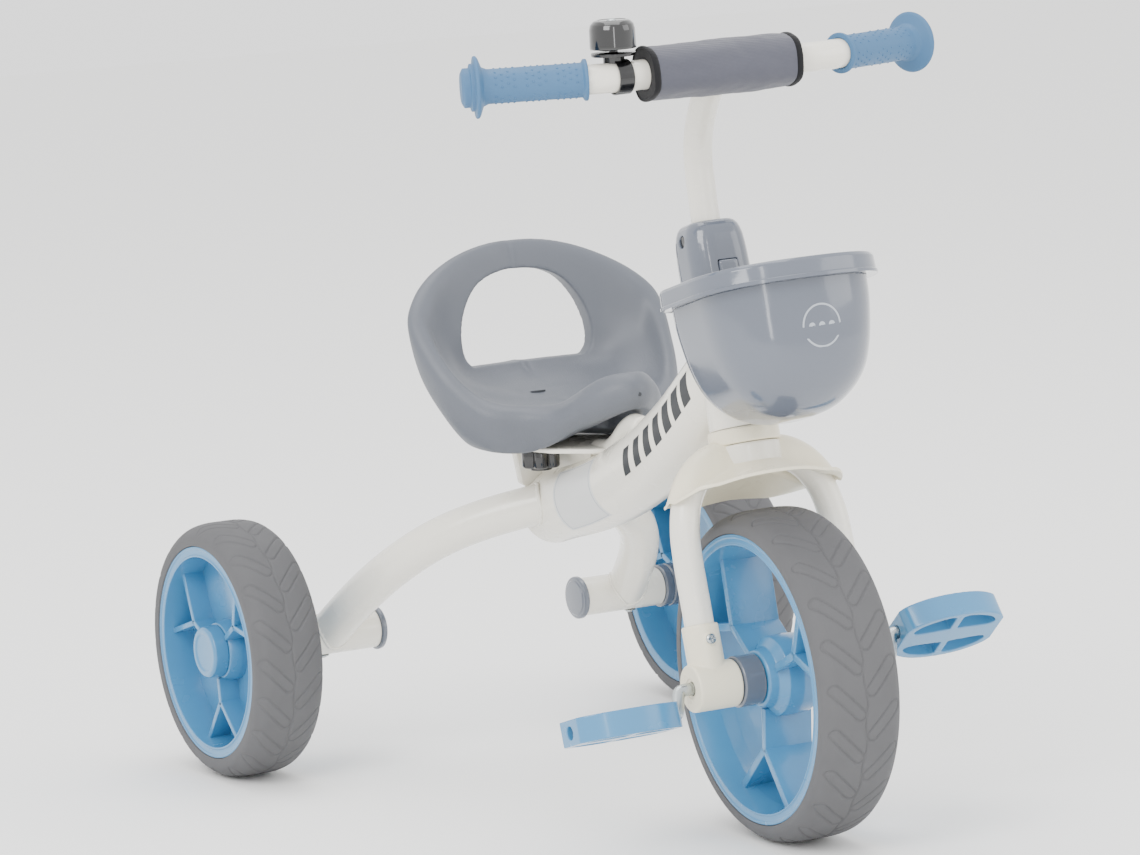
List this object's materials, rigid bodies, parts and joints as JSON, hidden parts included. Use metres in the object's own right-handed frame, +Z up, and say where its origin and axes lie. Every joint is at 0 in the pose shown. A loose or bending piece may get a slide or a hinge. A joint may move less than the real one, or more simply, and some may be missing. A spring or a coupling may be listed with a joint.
{
  "type": "children's tricycle",
  "caption": "Low children's tricycle with a bent tube frame, direct pedals on the front wheel, bucket seat with a hole in its back, front basket and swept handlebar.",
  "frame": {"origin": "on the ground, under the middle of the overall box", "axes": "+Z up, the tricycle faces -Y, the rider's left is +X"},
  "size_m": [0.5036, 0.711, 0.6195],
  "materials": {
    "frame_paint": "gloss",
    "cream_plastic": "gloss",
    "grey_plastic": "gloss",
    "seat_plastic": "leather grain",
    "wheel_blue": "gloss",
    "grip_rubber": "dotted",
    "tyre_foam": "matt foam, grooved tread",
    "black_plastic": "gloss",
    "bell_metal": "gloss black",
    "zinc_steel": "zinc plated",
    "pad_cloth": "padded cloth",
    "bush_nylon": "satin"
  },
  "bodies": {
    "frame": {"main_tube": "frame_paint", "main_tube_end_cap": "frame_paint", "head_tube": "frame_paint", "headset_lower_ring": "cream_plastic", "headset_lower_bush": "bush_nylon", "headset_upper_bush": "bush_nylon", "rear_arm_left": "frame_paint", "rear_arm_right": "frame_paint", "stub_tube_left": "frame_paint", "stub_tube_right": "frame_paint", "stub_cap_left": "grey_plastic", "stub_cap_right": "grey_plastic", "stub_spacer_left": "grey_plastic", "stub_spacer_right": "grey_plastic", "rear_axle_left": "zinc_steel", "rear_axle_right": "zinc_steel", "stub_screw_left": "zinc_steel", "stub_screw_right": "zinc_steel", "seat_gusset": "frame_paint", "seat_bracket": "frame_paint"},
    "rear_wheel_left": {"rear_tyre_left": "tyre_foam", "rear_rim_left": "wheel_blue", "rear_hub_cap_left": "wheel_blue"},
    "rear_wheel_right": {"rear_tyre_right": "tyre_foam", "rear_rim_right": "wheel_blue", "rear_hub_cap_right": "wheel_blue"},
    "seat": {"seat_shell": "seat_plastic", "seat_bolt_left": "zinc_steel", "seat_bolt_right": "zinc_steel"},
    "seat_knob_left": {"seat_knob_left": "black_plastic"},
    "seat_knob_right": {"seat_knob_right": "black_plastic"},
    "steering": {"fork_crown": "frame_paint", "fork_leg_left": "frame_paint", "fork_leg_right": "frame_paint", "fork_foot_left": "cream_plastic", "fork_foot_right": "cream_plastic", "fork_foot_screw_left": "zinc_steel", "fork_foot_screw_right": "zinc_steel", "axle_bush_left": "grey_plastic", "axle_bush_right": "grey_plastic", "mudguard": "cream_plastic", "stem_tube": "frame_paint", "stem_clamp": "zinc_steel", "stem_cover": "grey_plastic", "stem_cover_screw": "zinc_steel", "handlebar": "frame_paint", "grip_left": "grip_rubber", "grip_right": "grip_rubber", "bar_pad": "pad_cloth", "bell_clamp": "black_plastic", "bell_dome": "bell_metal"},
    "front_wheel": {"front_tyre": "tyre_foam", "front_rim": "wheel_blue", "crank_rod": "zinc_steel"},
    "pedal_left": {"pedal_left": "wheel_blue"},
    "pedal_right": {"pedal_right": "wheel_blue"},
    "basket": {"basket_shell": "grey_plastic", "basket_rim": "grey_plastic"},
    "release_button": {"release_button": "grey_plastic"},
    "bell_lever": {"bell_lever": "black_plastic"}
  },
  "joints": [
    {"name": "steering_turn", "type": "hinge", "parent": "frame", "child": "steering", "pos_m": [0, -0.23015, 0.12517], "axis": [0, 0.2593, 0.9658], "range_deg": [-36, 44]},
    {"name": "front_wheel_spin", "type": "hinge", "parent": "steering", "child": "front_wheel", "pos_m": [0, -0.23015, 0.12517], "axis": [0.9975, -0.0679, 0.0182], "continuous": true},
    {"name": "pedal_left_spin", "type": "hinge", "parent": "front_wheel", "child": "pedal_left", "pos_m": [0.14464, -0.22845, 0.14335], "axis": [0.9975, -0.0679, 0.0182], "continuous": true},
    {"name": "pedal_right_spin", "type": "hinge", "parent": "front_wheel", "child": "pedal_right", "pos_m": [-0.14464, -0.23185, 0.10699], "axis": [0.9975, -0.0679, 0.0182], "continuous": true},
    {"name": "rear_wheel_left_spin", "type": "hinge", "parent": "frame", "child": "rear_wheel_left", "pos_m": [0.2215, 0.25225, 0.1033], "axis": [1, 0, 0], "continuous": true},
    {"name": "rear_wheel_right_spin", "type": "hinge", "parent": "frame", "child": "rear_wheel_right", "pos_m": [-0.2215, 0.25225, 0.1033], "axis": [1, 0, 0], "continuous": true},
    {"name": "seat_slide", "type": "slide", "parent": "frame", "child": "seat", "axis": [0, 1, 0], "range_m": [0, 0.018]},
    {"name": "seat_knob_left_turn", "type": "hinge", "parent": "seat", "child": "seat_knob_left", "pos_m": [0.032, 0.07485, 0.258], "axis": [0, 0, 1], "continuous": true},
    {"name": "seat_knob_right_turn", "type": "hinge", "parent": "seat", "child": "seat_knob_right", "pos_m": [-0.032, 0.07485, 0.258], "axis": [0, 0, 1], "continuous": true},
    {"name": "basket_lift", "type": "slide", "parent": "steering", "child": "basket", "axis": [0, 0.2593, 0.9658], "range_m": [0, 0.08]},
    {"name": "release_press", "type": "slide", "parent": "steering", "child": "release_button", "axis": [0.0703, 0.9634, -0.2587], "range_m": [0, 0.003], "stiffness_N_per_m": 400},
    {"name": "bell_flick", "type": "hinge", "parent": "steering", "child": "bell_lever", "pos_m": [-0.08835, -0.16479, 0.59543], "axis": [-0.0182, 0.0006, 0.9998], "range_deg": [-25, 25], "stiffness_Nm_per_rad": 0.02}
  ]
}
